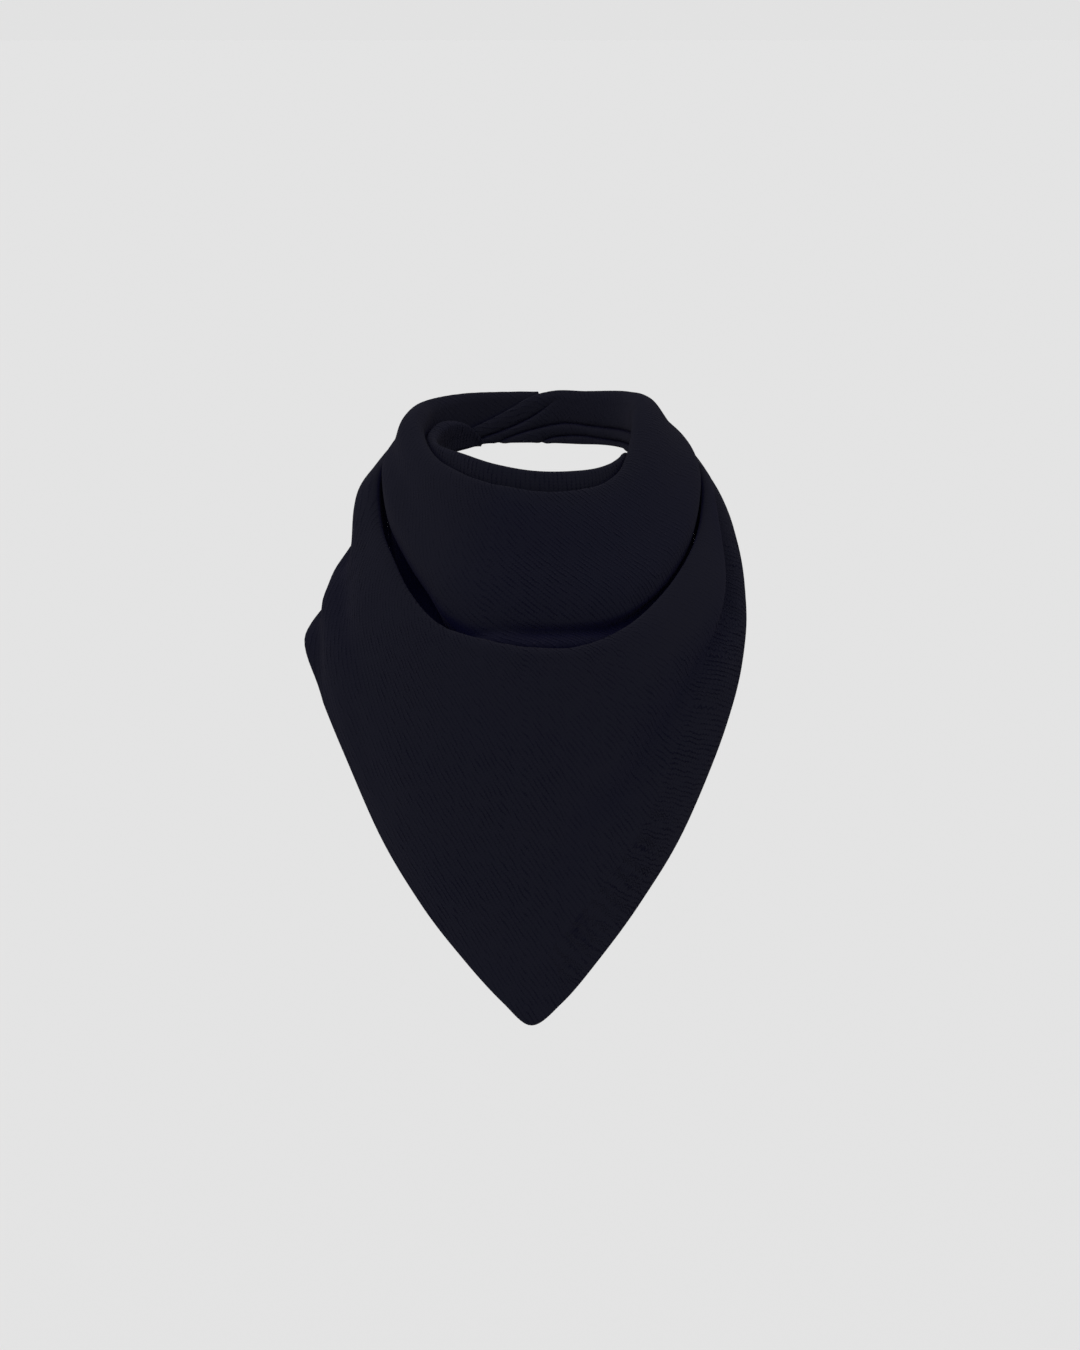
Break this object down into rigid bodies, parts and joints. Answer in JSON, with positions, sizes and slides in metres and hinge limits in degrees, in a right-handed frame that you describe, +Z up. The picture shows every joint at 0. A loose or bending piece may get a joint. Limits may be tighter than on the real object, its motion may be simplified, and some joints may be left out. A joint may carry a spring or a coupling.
{
  "type": "cashmere scarf",
  "caption": "Triangular knit scarf wound round a neck, with a folded cowl, a rolled rim and its point hanging at the front.",
  "frame": {"origin": "on the axis of the neck that wears the scarf, level with the front of the neck opening", "axes": "+Z up, -Y towards the front, where the point hangs, +X to the right of someone facing the scarf"},
  "size_m": [0.3079, 0.2356, 0.4265],
  "materials": {
    "front_panel_knit": "soft brushed knit",
    "neck_wrap_knit": "soft brushed knit",
    "right_end_knit": "soft brushed knit",
    "inner_wrap_knit": "soft brushed knit",
    "left_end_knit": "soft brushed knit"
  },
  "bodies": {
    "root": {"front_panel": "front_panel_knit", "neck_wrap": "neck_wrap_knit", "right_end": "right_end_knit", "inner_wrap": "inner_wrap_knit", "left_end": "left_end_knit"}
  },
  "joints": []
}
